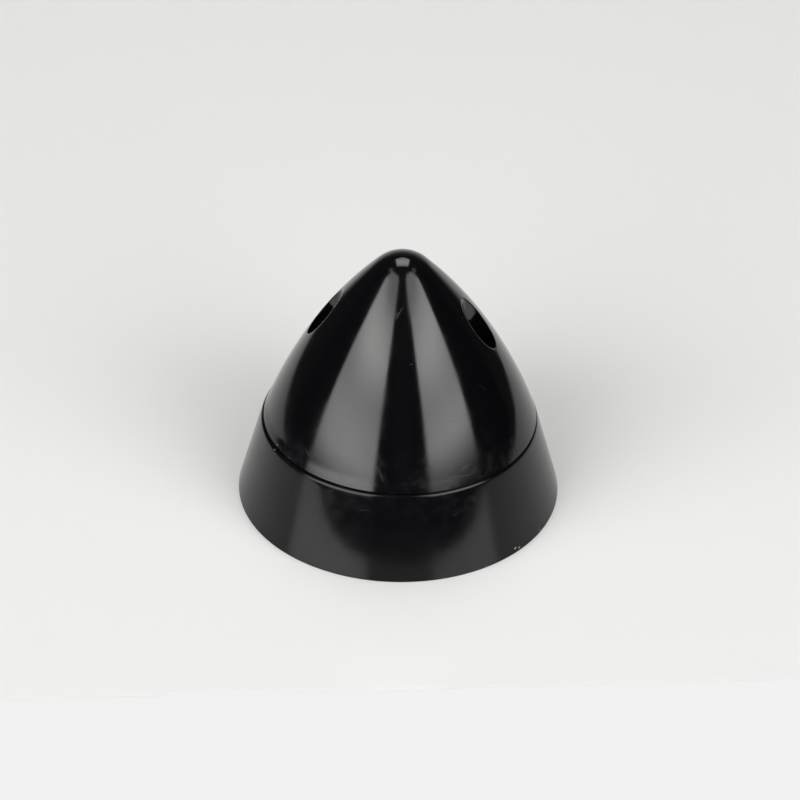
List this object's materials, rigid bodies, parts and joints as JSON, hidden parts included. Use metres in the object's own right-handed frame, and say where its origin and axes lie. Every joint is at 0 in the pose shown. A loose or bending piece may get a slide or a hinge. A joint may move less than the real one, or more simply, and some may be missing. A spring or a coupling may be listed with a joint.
{
  "type": "propeller spinner",
  "caption": "Propeller spinner for a model aircraft: a round-nosed hollow cone on a conical backplate, held by screws set deep in wells on either side.",
  "frame": {"origin": "centre of the skirt's open rim, on the plane the rim stands on", "axes": "+Z along the propeller shaft's axis towards the nose; +X towards one of the two screw wells, which lie either side of the shaft"},
  "size_m": [0.057, 0.057, 0.0482],
  "materials": {
    "black_plastic": "black glass-filled nylon, moulded gloss",
    "screw_steel": "zinc plated"
  },
  "bodies": {
    "root": {"backplate": "black_plastic", "nose_cone": "black_plastic", "cone_screw_left": "screw_steel", "cone_screw_right": "screw_steel"}
  },
  "joints": []
}
